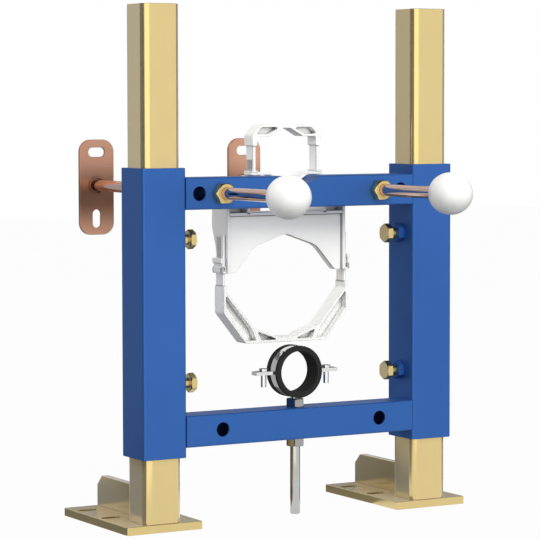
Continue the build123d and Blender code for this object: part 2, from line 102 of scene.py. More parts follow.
class ShaderNodes:
    # the nodes of a material or of the world
    def __init__(self, owner):
        owner.use_nodes = True
        self.tree = owner.node_tree

    def add(self, kind, settings=None, sockets=None, output=0):
        # one node: its settings first, then values or wires for its sockets
        node = self.tree.nodes.new("ShaderNode" + kind)
        for key, value in (settings or {}).items():
            setattr(node, key, value)
        for key, value in (sockets or {}).items():
            if isinstance(value, Wire):
                self.tree.links.new(value.socket, node.inputs[key])
            else:
                node.inputs[key].default_value = value
        return Wire(self, node.outputs[output])

    def link(self, wire, nodeName, socket):
        self.tree.links.new(wire.socket, self.tree.nodes[nodeName].inputs[socket])

    def seen(self):
        # 1 for the camera, reflections and glass, 0 for the light that falls on the object
        kinds = ("Is Camera Ray", "Is Glossy Ray", "Is Transmission Ray")
        camera, glossy, glass = [self.add("LightPath", output=kind) for kind in kinds]
        return camera + glossy + glass


class Finish(ShaderNodes):
    # a material with its shader, and the nodes that feed it
    def __init__(self, name, colour=(0.8, 0.8, 0.8), **same):
        self.material = bpy.data.materials.new(name)
        super().__init__(self.material)
        self.shader = self.tree.nodes["Principled BSDF"]
        self.shader.inputs["Base Color"].default_value = (*colour, 1)
        for key, value in same.items():
            self.shader.inputs[key.replace("_", " ")].default_value = value

    def feed(self, name, wire):
        self.tree.links.new(wire.socket, self.shader.inputs[name])

    def spot(self, stretch=(1, 1, 1)):
        # the object's own coordinates in metres, stretched for grain
        where = self.add("TexCoord", output="Object")
        return self.add("Mapping", {}, {"Vector": where, "Scale": stretch})

    def noise(self, where, scale, detail=3.0, roughness=0.55):
        # a cloud between 0 and 1
        sockets = {"Vector": where, "Scale": scale, "Detail": detail, "Roughness": roughness}
        return self.add("TexNoise", {}, sockets)

    def recessShadeMask(self, distance, samples=16):
        # 0 in the open, up to 1 deep in a recess or groove of the same piece; it masks the painted shade that
        # darkens the colour there
        settings = {"only_local": True, "samples": samples}
        return 1 - self.add("AmbientOcclusion", settings, {"Distance": distance}, "AO")

    def edgeShadeMask(self, distance, samples=24):
        # 0 on an open face, up to a half at a sharp edge of the same piece; it masks painted shade along
        # edges
        settings = {"only_local": True, "inside": True, "samples": samples}
        return 1 - self.add("AmbientOcclusion", settings, {"Distance": distance}, "AO")

    def blend(self, factor, first, second):
        # from one colour at 0 to the other at 1
        pair = [colour if isinstance(colour, Wire) else (*colour, 1) for colour in (first, second)]
        return self.add("Mix", {"data_type": "RGBA"}, {0: factor, 6: pair[0], 7: pair[1]}, 2)

    def bump(self, height, distance, strength):
        sockets = {"Height": height, "Distance": distance, "Strength": strength}
        self.feed("Normal", self.add("Bump", {}, sockets))


bluePaintLook = {
    "light": (0.034, 0.125, 0.405), "deep": (0.024, 0.105, 0.365), "seam": (0.006, 0.030, 0.110),
    "metallic": 0.5, "roughness": 0.42, "specular": 0.3, "speckle": 900.0, "cloud": 14.0, "grain": 0.00003,
    "seamReach": 0.004,
}


def makeBluePaint(look):
    # satin powder coat: a soft cloud in the colour and a fine orange peel, with painted shade darkening its
    # recesses
    finish = Finish("bluePaint", Metallic=look["metallic"], Specular_IOR_Level=look["specular"])
    where = finish.spot()
    cloud = finish.noise(where, look["cloud"])
    speckle = finish.noise(where, look["speckle"], 2.0)
    paint = finish.blend(cloud * 0.6 + speckle * 0.4, look["deep"], look["light"])
    finish.feed("Base Color", finish.blend(finish.recessShadeMask(look["seamReach"]) ** 1.5, paint, look["seam"]))
    finish.feed("Roughness", look["roughness"] - 0.05 + speckle * 0.1)
    finish.bump(speckle, look["grain"], 0.5)
    return finish.material


goldLook = {
    "light": (0.76, 0.60, 0.265), "deep": (0.68, 0.525, 0.225), "seam": (0.10, 0.065, 0.02),
    "drawing": (240, 240, 4), "cloud": 30.0, "sheenRoughness": 0.5, "seamReach": 0.004, "grain": 0.00002,
}
goldKinds = {
    # finish: metallic, roughness, sheen
    "gold_steel": (0.88, 0.18, 0.85),
    "gold_foot": (0.88, 0.24, 0.25),
    "gold_zinc": (1.0, 0.26, 0.05),
    "gold_face": (0.6, 0.6, 0.1),
}


def makeGold(name, look, metallic, roughness, sheen):
    # satin yellow plating with faint drawing lines along the tube, and painted shade darkening its recesses;
    # the sheen greys it at an angle
    finish = Finish(name, Metallic=metallic, Sheen_Weight=sheen, Sheen_Roughness=look["sheenRoughness"])
    lines = finish.noise(finish.spot(look["drawing"]), 4.0, 4.0)
    cloud = finish.noise(finish.spot(), look["cloud"])
    plating = finish.blend(lines * 0.5 + cloud * 0.5, look["deep"], look["light"])
    finish.feed("Base Color", finish.blend(finish.recessShadeMask(look["seamReach"]) ** 1.5, plating, look["seam"]))
    finish.feed("Roughness", roughness * (0.8 + cloud * 0.4))
    finish.bump(lines, look["grain"], 0.35)
    return finish.material


copperLook = {
    "light": (0.78, 0.43, 0.30), "deep": (0.66, 0.35, 0.235), "dull": (0.19, 0.095, 0.06),
    "seam": (0.03, 0.015, 0.01), "seamReach": 0.0035,
    "roughness": 0.3, "brushing": (6, 6, 700), "grain": 0.00003,
    "dullDrop": 10.0, "dullNear": 4.0, "dullFar": 40.0, "dullShare": 0.85,
}


def makeCopper(look):
    # plates brushed from side to side, with a painted dark reflection in a band across them and painted shade
    # in their recesses
    finish = Finish("copperPlate", Metallic=1.0)
    lines = finish.noise(finish.spot(look["brushing"]), 5.0, 5.0, 0.7)
    height = finish.add("SeparateXYZ", {}, {"Vector": finish.spot()}, "Z")
    # painted dark reflection: the colour is darkest at this height, a little below the stud, and lightens
    # above and below
    darkestReflection = (middleOf("left_wall_plate")[2] - look["dullDrop"]) * mm
    dull = finish.add("MapRange", {"interpolation_type": "SMOOTHSTEP"}, {
        "Value": finish.add("Math", {"operation": "ABSOLUTE"}, {0: height - darkestReflection}),
        "From Min": look["dullNear"] * mm, "From Max": look["dullFar"] * mm,
        "To Min": look["dullShare"], "To Max": 0.0,
    })
    copper = finish.blend(dull, finish.blend(lines, look["deep"], look["light"]), look["dull"])
    finish.feed("Base Color", finish.blend(finish.recessShadeMask(look["seamReach"]) ** 1.5, copper, look["seam"]))
    finish.feed("Roughness", look["roughness"] - 0.08 + lines * 0.16)
    finish.bump(lines, look["grain"], 0.4)
    return finish.material


metalKinds = {
    # finish: darker colour, lighter colour, roughness
    "copper_steel": ((0.70, 0.48, 0.41), (0.78, 0.55, 0.48), 0.10),
    "bright_zinc": ((0.74, 0.74, 0.74), (0.84, 0.84, 0.83), 0.12),
    "nut_zinc": ((0.32, 0.32, 0.315), (0.40, 0.40, 0.39), 0.10),
    "rod_zinc": ((0.46, 0.46, 0.45), (0.56, 0.56, 0.55), 0.08),
}


def makeMetal(name, deep, light, roughness):
    # bright plating that is a little cloudy
    finish = Finish(name, Metallic=1.0)
    cloud = finish.noise(finish.spot(), 60.0)
    finish.feed("Base Color", finish.blend(cloud, deep, light))
    finish.feed("Roughness", roughness * 0.75 + cloud * roughness * 0.5)
    return finish.material


plasticLook = {
    "light": (0.90, 0.90, 0.89), "deep": (0.87, 0.87, 0.86), "seam": (0.14, 0.14, 0.14),
    "edge": (0.25, 0.25, 0.25), "edgeReach": 0.0008, "seamReach": 0.0045, "seamSamples": 40,
}
plasticKinds = {
    # finish: roughness, grain
    "white_cap": (0.32, 0.000004),
    "white_plastic": (0.45, 0.00001),
}


def makePlastic(name, look, roughness, grain):
    # eggshell moulding, with painted shade as fine dark lines along its edges and darker colour in its
    # recesses
    finish = Finish(name)
    where = finish.spot()
    cloud = finish.noise(where, 40.0)
    fine = finish.noise(where, 2500.0, 2.0)
    moulded = finish.blend(cloud, look["deep"], look["light"])
    edgeShaded = finish.blend(finish.edgeShadeMask(look["edgeReach"]), moulded, look["edge"])
    seam = finish.recessShadeMask(look["seamReach"], look["seamSamples"]) ** 1.6
    finish.feed("Base Color", finish.blend(seam, edgeShaded, look["seam"]))
    finish.feed("Roughness", roughness - 0.04 + fine * 0.08)
    finish.bump(fine, grain, 0.4)
    return finish.material


rubberLook = {
    "light": (0.012, 0.012, 0.012), "deep": (0.007, 0.007, 0.007), "roughness": 0.55, "specular": 0.26,
    "grain": 0.00004,
}


def makeRubber(look):
    finish = Finish("blackRubber", Specular_IOR_Level=look["specular"])
    fine = finish.noise(finish.spot(), 1200.0, 4.0)
    finish.feed("Base Color", finish.blend(fine, look["deep"], look["light"]))
    finish.feed("Roughness", look["roughness"] - 0.08 + fine * 0.16)
    finish.bump(fine, look["grain"], 0.5)
    return finish.material


finishes = {
    "blue_paint": makeBluePaint(bluePaintLook),
    "copper_plate": makeCopper(copperLook),
    "black_rubber": makeRubber(rubberLook),
}
for name, kind in goldKinds.items():
    finishes[name] = makeGold(camel(name), goldLook, *kind)
for name, kind in metalKinds.items():
    finishes[name] = makeMetal(camel(name), *kind)
for name, kind in plasticKinds.items():
    finishes[name] = makePlastic(camel(name), plasticLook, *kind)
for name, node in nodes.items():
    node.data.materials.clear()
    node.data.materials.append(finishes[slotOf[name]])
print("finishes made:", len(finishes))


def rounded(points, radius, steps=4):
    # the same outline with its corners turned into arcs; a third number is a corner's own radius
    result = []
    for index, point in enumerate(points):
        corner = Vector(point[:2])
        size = point[2] if len(point) > 2 else radius
        if size == 0:
            result.append(tuple(corner))
            continue
        before = Vector(points[index - 1][:2]) - corner
        after = Vector(points[(index + 1) % len(points)][:2]) - corner
        half = before.angle(after) / 2
        most = 0.48  # of either side, so that two arcs never meet
        reach = min(size / math.tan(half), before.length * most, after.length * most)
        size = reach * math.tan(half)
        centre = corner + (before.normalized() + after.normalized()).normalized() * size / math.sin(half)
        start = corner + before.normalized() * reach - centre
        end = corner + after.normalized() * reach - centre
        turn = math.atan2(start.x * end.y - start.y * end.x, start.dot(end))
        for step in range(steps + 1):
            angle = math.atan2(start.y, start.x) + turn * step / steps
            result.append((centre.x + size * math.cos(angle), centre.y + size * math.sin(angle)))
    return result


def rectangle(width, depth, corner, steps=6):
    x, y = width / 2, depth / 2
    return rounded([(x, y), (-x, y), (-x, -y), (x, -y)], corner, steps)


def circle(radius, count):
    angles = [2 * math.pi * step / count for step in range(count)]
    return [(radius * math.cos(angle), radius * math.sin(angle)) for angle in angles]


def rodProfile(radius, low, high, ease):
    # half the outline of a rod with eased ends, in (radius, height) points
    return [(radius - ease, low), (radius, low + ease), (radius, high - ease), (radius - ease, high)]


nutForm = {
    "face": 0.475,  # radius of the flat face, as a share of the width over the flats
    "corner": 0.985,  # how far the corners reach, as a share of sharp ones
    "lip": 0.25, "count": 72,
}


class Shape:
    # one mesh in millimetres, gathered from several forms
    def __init__(self):
        self.mesh = bmesh.new()

    def rings(self, stack, where=None, closed=True):
        # joins rings of equally many points; closed joins the last to the first, else both ends get a lid
        rows = []
        for ring in stack:
            spots = [Vector(point) for point in ring]
            rows.append([self.mesh.verts.new(where @ spot if where else spot) for spot in spots])
        count = len(rows[0])
        pairs = zip(rows, rows[1:] + rows[:1]) if closed else zip(rows, rows[1:])
        faces = []
        for low, high in pairs:
            for index in range(count):
                after = (index + 1) % count
                faces.append(self.mesh.faces.new((low[index], low[after], high[after], high[index])))
        if not closed:
            faces.append(self.mesh.faces.new(rows[0]))
            faces.append(self.mesh.faces.new(rows[-1]))
        bmesh.ops.recalc_face_normals(self.mesh, faces=faces)

    def tube(self, width, low, high, look, steps, where):
        # a square tube with rounded corners and eased ends, its profile in (inset, height) points
        wall = look["wall"]
        profile = rounded([(0, low), (0, high), (wall, high), (wall, low)], look["endEase"], steps)
        stack = []
        for inset, height in profile:
            side = width - 2 * inset
            outline = rectangle(side, side, max(look["corner"] - inset, 0.3))
            stack.append([(x, y, height) for x, y in outline])
        self.rings(stack, where)

    def turned(self, profile, where=None, closed=False, count=64):
        # a form of revolution round Z, from (radius, height) points
        self.rings([[(x, y, z) for x, y in circle(r, count)] for r, z in profile], where, closed)

    def hexagon(self, acrossFlats, low, high, bore, where, bevel=45):
        # a nut, or with no bore a screw head: both faces are bevelled to a circle
        face, slope = acrossFlats * nutForm["face"], math.tan(math.radians(bevel))
        corner = acrossFlats / 2 / math.cos(math.radians(30)) * nutForm["corner"]
        sides = []
        for step in range(nutForm["count"]):
            angle = 2 * math.pi * step / nutForm["count"]
            across = (math.degrees(angle) + 30) % 60 - 30
            reach = min(acrossFlats / 2 / math.cos(math.radians(across)), corner)
            sides.append((math.cos(angle), math.sin(angle), reach))

        def flat(radius, height):
            return [(x * radius, y * radius, height) for x, y, _ in sides]

        upper = [(x * r, y * r, high - (r - face) * slope) for x, y, r in sides]
        lower = [(x * r, y * r, low + (r - face) * slope) for x, y, r in sides]
        outside = [flat(face, high), upper, lower, flat(face, low)]
        if not bore:
            self.rings(outside, where, False)
            return
        lip = nutForm["lip"]
        inside = [flat(bore + lip, low), flat(bore, low + lip)]
        inside += [flat(bore, high - lip), flat(bore + lip, high)]
        self.rings(outside + inside, where)

    def slab(self, loops, thickness, bevel, where=None):
        # a flat plate with holes and eased edges, standing on z = 0 before it is placed
        curve = bpy.data.curves.new("outline", "CURVE")
        curve.dimensions = "2D"
        curve.fill_mode = "BOTH"
        curve.extrude = thickness / 2 - bevel
        curve.bevel_depth = bevel
        curve.bevel_resolution = 2
        curve.offset = -bevel
        for loop in loops:
            spline = curve.splines.new("POLY")
            spline.points.add(len(loop) - 1)
            for point, (x, y) in zip(spline.points, loop):
                point.co = (x, y, 0, 1)
            spline.use_cyclic_u = True
        holder = bpy.data.objects.new("outline", curve)
        plate = bpy.data.meshes.new_from_object(holder)
        plate.transform(Matrix.Translation((0, 0, thickness / 2)))
        self.take(plate, where)
        bpy.data.objects.remove(holder)
        bpy.data.curves.remove(curve)

    def take(self, mesh, where=None):
        if where:
            mesh.transform(where)
        self.mesh.from_mesh(mesh)
        bpy.data.meshes.remove(mesh)


def place(x=0, y=0, z=0, axis="Z", turn=0):
    # moves a form and points its own Z along an axis; turn spins it round that axis first
    lay = {
        "Z": Matrix.Identity(4),
        "X": Matrix.Rotation(math.pi / 2, 4, "Y"),
        "Y": Matrix.Rotation(-math.pi / 2, 4, "X"),
        "-Y": Matrix.Rotation(math.pi / 2, 4, "X"),
        "side": Matrix(((0, 0, 1, 0), (1, 0, 0, 0), (0, 1, 0, 0), (0, 0, 0, 1))),
    }[axis]
    return Matrix.Translation((x, y, z)) @ lay @ Matrix.Rotation(math.radians(turn), 4, "Z")


pieces = []  # every piece that stands for a CAD node


def finishPiece(name, shape, node, sharp=35, finish=None):
    # turns a shape into a scene object that stands for its CAD node
    bmesh.ops.remove_doubles(shape.mesh, verts=shape.mesh.verts, dist=0.0005)
    mesh = bpy.data.meshes.new(name)
    shape.mesh.to_mesh(mesh)
    shape.mesh.free()
    mesh.transform(Matrix.Scale(mm, 4))
    return showMesh(name, mesh, node, sharp, finish)


def showMesh(name, mesh, node, sharp, finish=None):
    # links a mesh with its finish, hangs it on its CAD node's body and hides that node
    mesh.materials.clear()
    mesh.materials.append(finishes[finish or slotOf[node]])
    for face in mesh.polygons:
        face.use_smooth = True
        face.material_index = 0
    mesh.set_sharp_from_angle(angle=math.radians(sharp))
    piece = bpy.data.objects.new(name, mesh)
    bpy.context.scene.collection.objects.link(piece)
    evenShading(piece)
    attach(piece, bodyOf[node])
    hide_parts(node)
    pieces.append(piece)
    return piece


def finishFaces(piece, axis, finish):
    # gives the faces that look along an axis a finish of their own
    piece.data.materials.append(finishes[finish])
    for face in piece.data.polygons:
        if abs(face.normal[axis]) > 0.95:
            face.material_index = 1


def evenShading(piece):
    # flat faces keep flat shading beside their rounded edges
    weighted = piece.modifiers.new("evenShading", "WEIGHTED_NORMAL")
    weighted.keep_sharp = True
    weighted.weight = 100
    settle(piece)


def settle(piece):
    # applies the modifiers
    graph = bpy.context.evaluated_depsgraph_get()
    done = bpy.data.meshes.new_from_object(piece.evaluated_get(graph))
    piece.modifiers.clear()
    old = piece.data
    piece.data = done
    done.name = piece.name
    bpy.data.meshes.remove(old)


easing = {"weld": 0.00002, "flat": math.radians(1), "segments": 3, "corner": math.radians(34), "smooth": 40}


def easedCopy(node, edge, finish=None):
    # the CAD node's form with its flat faces made whole and its edges rounded
    form = bmesh.new()
    form.from_mesh(nodes[node].data)
    bmesh.ops.remove_doubles(form, verts=form.verts, dist=easing["weld"])
    bmesh.ops.dissolve_limit(form, angle_limit=easing["flat"], verts=form.verts, edges=form.edges)
    mesh = bpy.data.meshes.new(node)
    form.to_mesh(mesh)
    form.free()
    holder = bpy.data.objects.new("holder", mesh)
    bpy.context.scene.collection.objects.link(holder)
    bevel = holder.modifiers.new("edges", "BEVEL")
    bevel.width = edge * mm
    bevel.segments = easing["segments"]
    bevel.limit_method = "ANGLE"
    bevel.angle_limit = easing["corner"]
    bevel.use_clamp_overlap = False
    settle(holder)
    mesh = holder.data
    bpy.data.objects.remove(holder)
    return showMesh(camel(node) + "Piece", mesh, node, easing["smooth"], finish)


# the tubes and feet of the adjustable legs
legLook = {"corner": 8.6, "wall": 2.5, "endEase": 0.5, "plateEase": 0.5, "gussetEase": 0.6}


def makeLeg(side, look):
    low, high = spanOf(side + "_post")
    middle = middleOf(side + "_post")
    shape = Shape()
    shape.tube(high[0] - low[0], low[2], high[2], look, 3, place(middle[0], middle[1]))
    finishPiece(side + "PostTube", shape, side + "_post")
    easedCopy(side + "_foot_plate", look["plateEase"], "gold_foot")
    easedCopy(side + "_foot_gusset", look["gussetEase"])


# the sleeves that slide on the legs, with their lock screws
sleeveLook = {"corner": 2.8, "wall": 2.6, "endEase": 0.4}
lockLook = {"flats": 17.0, "bore": 5.0, "nutBevel": 20, "head": 6.5, "headBevel": 24, "tipEase": 0.6}


def makeSleeve(side, look):
    low, high = spanOf(side + "_sleeve")
    middle = middleOf(side + "_sleeve")
    shape = Shape()
    shape.tube(high[0] - low[0], low[2], high[2], look, 2, place(middle[0], middle[1]))
    finishPiece(side + "SleeveTube", shape, side + "_sleeve")


def makeLock(side, level, look):
    # a nut on the sleeve, and a screw that runs from its head between the sleeves to the leg
    start = f"{side}_{level}_lock_"
    low, high = spanOf(start + "nut")
    _, y, z = middleOf(start + "nut")
    turned = place(0, y, z, "X", 30)
    nut = Shape()
    nut.hexagon(look["flats"], low[0], high[0], look["bore"], turned, look["nutBevel"])
    finishPiece(camel(start + "nut"), nut, start + "nut")
    low, high = spanOf(start + "bolt")
    inner, outer, way = (high[0], low[0], 1) if side == "left" else (low[0], high[0], -1)
    face = inner - way * look["head"]
    bolt = Shape()
    bolt.hexagon(look["flats"], min(inner, face), max(inner, face), 0, turned, look["headBevel"])
    root = (inner + face) / 2
    rod = rodProfile(look["bore"], min(root, outer), max(root, outer), look["tipEase"])
    bolt.turned(rod, place(0, y, z, "X"))
    finishFaces(finishPiece(camel(start + "bolt"), bolt, start + "bolt"), 0, "gold_steel")


# the wall studs with their nuts, ball caps and plates
studLook = {
    "nutFlats": 19.0, "bore": 6.05, "tipEase": 0.8,
    "capBore": 6.1, "capLip": 1.2, "capSteps": 60, "boreEnd": 6.0,
    "mouthRound": 0.3, "mouthDepths": (0.5, 0.1),
    "plateCorner": 13.0, "plateEase": 0.55, "slotLength": 19.5, "slotWidth": 10.0, "slotOffset": 35.3,
    "plateThickness": 4.0, "collarWidth": 1.5, "collarEase": 0.45,
    "pocketRadius": 8.0, "pocketFloor": (0.4, 1.5),  # the floor's two heights over the plate's rear face
}


def makeStud(side, look):
    low, high = spanOf(side + "_stud")
    x, _, z = middleOf(side + "_stud")
    rod = rodProfile((high[0] - low[0]) / 2, low[1], high[1], look["tipEase"])
    shape = Shape()
    shape.turned(rod, place(x, 0, z, "Y"))
    finishPiece(side + "StudRod", shape, side + "_stud")
    for end in ("front", "rear"):
        node = f"{side}_{end}_stud_nut"
        low, high = spanOf(node)
        nut = Shape()
        nut.hexagon(look["nutFlats"], low[1], high[1], look["bore"], place(x, 0, z, "Y", 30))
        finishFaces(finishPiece(camel(node), nut, node), 1, "gold_face")
    makeCap(side, x, z, look)
    makeWallPlate(side, x, z, look)


def makeCap(side, x, z, look):
    # an egg-shaped ball with a blind bore and a small lip round its mouth
    low, high = spanOf(side + "_ball_cap")
    centre = (low[1] + high[1]) / 2
    half, radius = centre - low[1], (high[2] - low[2]) / 2
    bore = look["capBore"]
    profile = []
    for step in range(1, look["capSteps"]):
        angle = math.pi * step / look["capSteps"]
        across, along = radius * math.sin(angle), -half * math.cos(angle)
        if along < 0 or across > bore + look["capLip"]:
            profile.append((across, centre + along))
    mouth, (crest, edge) = profile[-1][1], look["mouthDepths"]
    profile += [(bore + look["mouthRound"], mouth + crest), (bore, mouth + edge)]
    profile.append((bore, centre - look["boreEnd"]))
    shape = Shape()
    shape.turned(profile, place(x, 0, z, "Y"), count=96)
    finishPiece(side + "BallCap", shape, side + "_ball_cap")


def slotLoop(height, width, depth):
    corner = min(width, depth) / 2 - 0.01  # just short of a half circle
    return [(x, y + height) for x, y in rectangle(width, depth, corner, 10)]


def makeWallPlate(side, x, z, look):
    low, high = spanOf(side + "_wall_plate")
    middle = (low[2] + high[2]) / 2 - z
    outline = rectangle(high[0] - low[0], high[2] - low[2], look["plateCorner"], 12)
    loops = [
        [(a, b + middle) for a, b in outline],
        slotLoop(look["slotOffset"], look["slotLength"], look["slotWidth"]),
        slotLoop(-look["slotOffset"], look["slotWidth"], look["slotLength"]),
        circle(look["pocketRadius"], 48),
    ]
    rear, inner = high[1], look["pocketRadius"]
    foot, top = look["pocketFloor"]
    outer, front = inner + look["collarWidth"], rear - low[1]
    collar = rounded([(inner, foot), (outer, foot), (outer, front), (inner, front)], look["collarEase"], 4)
    shape = Shape()
    shape.slab(loops, look["plateThickness"], look["plateEase"], place(x, rear, z, "-Y"))
    shape.turned(collar, place(x, rear, z, "-Y"), True)
    shape.turned([(inner, foot), (inner, top)], place(x, rear, z, "-Y"))
    finishPiece(side + "WallPlate", shape, side + "_wall_plate")


# the rubber-lined pipe clamp on its rod
clampLook = {
    "rubberRadius": 26.0, "boreRadius": 20.8, "bandRadius": 25.4, "bandThickness": 1.5, "bandWidth": 10.2,
    "seatGap": 0.1, "seatRound": 0.3, "lipEase": 0.6,
    "grooves": 4, "grooveDepth": 0.8, "grooveWidth": 2.2, "groovePitch": 4.4, "grooveRound": 0.2,
    "nutFlats": 17.0, "nutBevel": 30, "rodRadius": 5.0, "rodEase": 0.8, "nutPlay": 0.05,
    "bandEase": 0.25, "screwEase": 0.3,
}


def makeClamp(look):
    low, high = spanOf("clamp_lining")
    x, _, z = middleOf("clamp_lining")
    railY = middleOf("clamp_rod")[1]
    bore, outer = look["boreRadius"], look["rubberRadius"]
    seat = look["bandRadius"] - look["bandThickness"] - look["seatGap"]
    groove = look["bandWidth"] / 2 + look["seatGap"]
    corner = look["seatRound"]
    profile = [(outer, low[1]), (outer, railY - groove), (seat, railY - groove, corner)]
    profile += [(seat, railY + groove, corner), (outer, railY + groove), (outer, high[1]), (bore, high[1])]
    corner = look["grooveRound"]
    middle = (low[1] + high[1]) / 2 + (look["grooves"] - 1) / 2 * look["groovePitch"]
    for number in range(look["grooves"]):
        centre = middle - number * look["groovePitch"]
        back, front = centre + look["grooveWidth"] / 2, centre - look["grooveWidth"] / 2
        deep = bore + look["grooveDepth"]
        profile += [(bore, back, corner), (deep, back, corner), (deep, front, corner), (bore, front, corner)]
    profile.append((bore, low[1]))
    shape = Shape()
    shape.turned(rounded(profile, look["lipEase"], 3), place(x, 0, z, "Y"), True, 96)
    finishPiece("clampLining", shape, "clamp_lining", 50)
    for level in ("upper", "lower"):
        easedCopy(level + "_clamp_band", look["bandEase"])
    low, high = spanOf("clamp_rod")
    shape = Shape()
    shape.turned(rodProfile(look["rodRadius"], low[2], high[2], look["rodEase"]), place(0, railY))
    finishPiece("clampRod", shape, "clamp_rod", finish="rod_zinc")
    bore = look["rodRadius"] + look["nutPlay"]
    for level in ("upper", "lower"):
        node = level + "_clamp_nut"
        low, high = spanOf(node)
        nut = Shape()
        nut.hexagon(look["nutFlats"], low[2], high[2], bore, place(0, railY, 0, "Z", 30), look["nutBevel"])
        finishPiece(camel(node), nut, node, finish="nut_zinc")
    for side in ("right", "left"):
        easedCopy(side + "_clamp_screw", look["screwEase"])


for side in ("right", "left"):
    makeLeg(side, legLook)
    makeSleeve(side, sleeveLook)
    for level in ("lower", "upper"):
        makeLock(side, level, lockLook)
    makeStud(side, studLook)
makeClamp(clampLook)


def mirrored(loop):
    return [(-point[0], *point[1:]) for point in reversed(loop)]


def bothHalves(half):
    return half + mirrored(half)


def grown(corners, distance):
    # a convex outline moved outwards, or inwards where the distance is negative
    middle = Vector((sum(c[0] for c in corners), sum(c[1] for c in corners))) / len(corners)
    lines = []
    for start, end in zip(corners, corners[1:] + corners[:1]):
        a, b = Vector(start[:2]), Vector(end[:2])
        normal = Vector((a.y - b.y, b.x - a.x)).normalized()
        if normal.dot(middle - a) > 0:
            normal = -normal
        lines.append((normal, normal.dot(a) + distance))
    result = []
    for (n, p), (m, q) in zip(lines[-1:] + lines[:-1], lines):
        share = n.x * m.y - n.y * m.x
        result.append(((p * m.y - q * n.y) / share, (n.x * q - m.x * p) / share))
    return result


def crossing(start, end, x=None, z=None):
    # where the line through two points reaches an x or a height
    if x is None:
        return (start[0] + (end[0] - start[0]) * (z - start[1]) / (end[1] - start[1]), z)
    return (x, start[1] + (end[1] - start[1]) * (x - start[0]) / (end[0] - start[0]))


class Moulding(Shape):
    # a plastic moulding behind the top rail: depths count from the rail's rear face, heights from its middle
    def __init__(self):
        super().__init__()
        self.rear = spanOf("top_rail")[1][1]
        self.height = middleOf("top_rail")[2]

    def plate(self, loops, front, back, ease):
        # an outline in x and height, thick from front to back
        raised = [[(x, z + self.height) for x, z in loop] for loop in loops]
        self.slab(raised, back - front, ease, place(0, self.rear + back, 0, "-Y"))

    def wall(self, loop, left, right, ease):
        # an outline in depth and height, thick from left to right
        moved = [(y + self.rear, z + self.height) for y, z in loop]
        self.slab([moved], right - left, ease, place(left, 0, 0, "side"))

    def block(self, x, y, z, ease):
        # a bar between two x, two depths and two heights
        corners = [(x[0], z[0]), (x[1], z[0]), (x[1], z[1]), (x[0], z[1])]
        self.plate([corners], y[0], y[1], ease)


strapForm = {
    # what both straps share, in millimetres; a tooth's gap is a share of the pitch
    "gapShare": 0.55, "stripOverlap": 0.2, "legRound": 0.5, "legInset": 0.05, "legOverlap": 1.0, "sharp": 40,
}

# the strap that holds the drain pipe up against the arch
drainLook = {
    "ease": 0.3, "toothEase": 0.15, "webEase": 0.1, "rim": 2.5, "web": 2.0, "webBite": 0.7,
    "front": 1.0, "depth": 19.0, "legFront": 4.0, "legDepth": 14.0, "legTop": -43.0, "legWall": 2.8,
    "legReach": 71.2, "bodyReach": 71.6, "step": -92.5, "stepSlope": 1.4, "corner": -120.0,
    "floorHalf": 46.5, "floor": -151.0, "outerRound": 5.0, "pocketRound": 0.8,
    "innerTop": -99.0, "knee": (38.0, -135.0), "innerFloor": (8.5, -146.0), "innerRound": 3.0, "ribLean": 7.0,
    "toothBottom": -66.0, "toothPitch": 2.0, "teeth": 11, "toothDepth": 1.3, "toothStrip": 3.4,
}


def addLegs(moulding, inner, outer, low, high, look):
    # each leg has square grooves across its outer face, behind a plain strip at its front
    corner, share = strapForm["legRound"], strapForm["gapShare"]
    plain = [(inner, low), (outer, low), (outer, high, corner), (inner, high, corner)]
    toothed = plain[:2]
    for number in range(look["teeth"]):
        z = look["toothBottom"] + number * look["toothPitch"]
        root, top = outer - look["toothDepth"], z + look["toothPitch"] * share
        toothed += [(outer, z), (root, z), (root, top), (outer, top)]
    toothed += plain[2:]
    front = look["legFront"]
    strip = front + look["toothStrip"]
    back = front + look["legDepth"]
    for loop, start, end in ((plain, front, strip + strapForm["stripOverlap"]), (toothed, strip, back)):
        for side in (loop, mirrored(loop)):
            moulding.plate([rounded(side, 0.0, 3)], start, end, look["toothEase"])


def addPockets(moulding, pockets, look):
    # thin webs that close the pockets half way through the strap
    middle = look["front"] + look["depth"] / 2
    for pocket in pockets:
        for loop in (pocket, mirrored(pocket)):
            web = grown(loop, look["webBite"])
            moulding.plate([web], middle - look["web"] / 2, middle + look["web"] / 2, look["webEase"])


def makeDrainStrap(look):
    moulding = Moulding()
    outer, inner = look["bodyReach"], look["legReach"] - look["legWall"]
    knee, innerFloor = look["knee"], look["innerFloor"]
    floorCorner, outerCorner = (look["floorHalf"], look["floor"]), (outer, look["corner"])
    half = [
        (*floorCorner, look["outerRound"]), (*outerCorner, look["outerRound"]),
        (outer, look["step"] - look["stepSlope"], 0.5), (look["legReach"], look["step"], 0.5),
        (inner, look["step"], 0), (inner, look["innerTop"], 2.0),
        (*knee, look["innerRound"]), (*innerFloor, look["innerRound"]),
    ]
    ribFoot = (knee[0] - look["ribLean"], look["floor"])
    shoulder = crossing(knee, (inner, look["innerTop"]), x=outer)
    side = grown([shoulder, outerCorner, floorCorner, ribFoot, knee], -look["rim"])
    tip = crossing(knee, innerFloor, z=look["floor"])
    under = grown([knee, ribFoot, tip], -look["rim"])
    pockets = [side, under]
    holes = []
    for pocket in pockets:
        hole = rounded(pocket, look["pocketRound"], 3)
        holes += [hole, mirrored(hole)]
    body = rounded(bothHalves(half), 0.0, 6)
    moulding.plate([body] + holes, look["front"], look["front"] + look["depth"], look["ease"])
    addPockets(moulding, pockets, look)
    low = look["step"] - strapForm["legOverlap"]
    addLegs(moulding, inner + strapForm["legInset"], look["legReach"], low, look["legTop"], look)
    finishPiece("drainStrap", moulding, "drain_strap", strapForm["sharp"])


